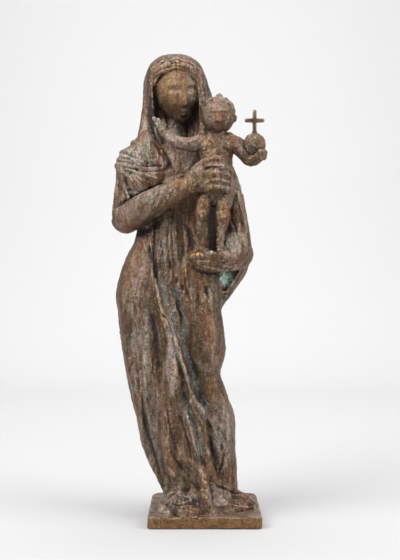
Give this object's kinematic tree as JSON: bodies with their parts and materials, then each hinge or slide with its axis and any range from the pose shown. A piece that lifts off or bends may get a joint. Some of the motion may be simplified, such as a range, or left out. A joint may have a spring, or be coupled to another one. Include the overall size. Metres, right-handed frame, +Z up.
{
  "type": "madonna and child statue",
  "caption": "Cast bronze statuette of a veiled standing mother holding a small child, who carries an orb with a cross, on a thin square foot plate.",
  "frame": {"origin": "middle of the foot plate's flat underside", "axes": "+Z up along the standing figure, the figure looks along -Y, +X is the viewer's right when facing the figure"},
  "size_m": [0.1513, 0.1233, 0.4617],
  "materials": {
    "bronze": "brown patinated cast bronze with golden worn edges and green-grey verdigris in the grooves"
  },
  "bodies": {
    "root": {"madonna_and_child": "bronze"}
  },
  "joints": []
}
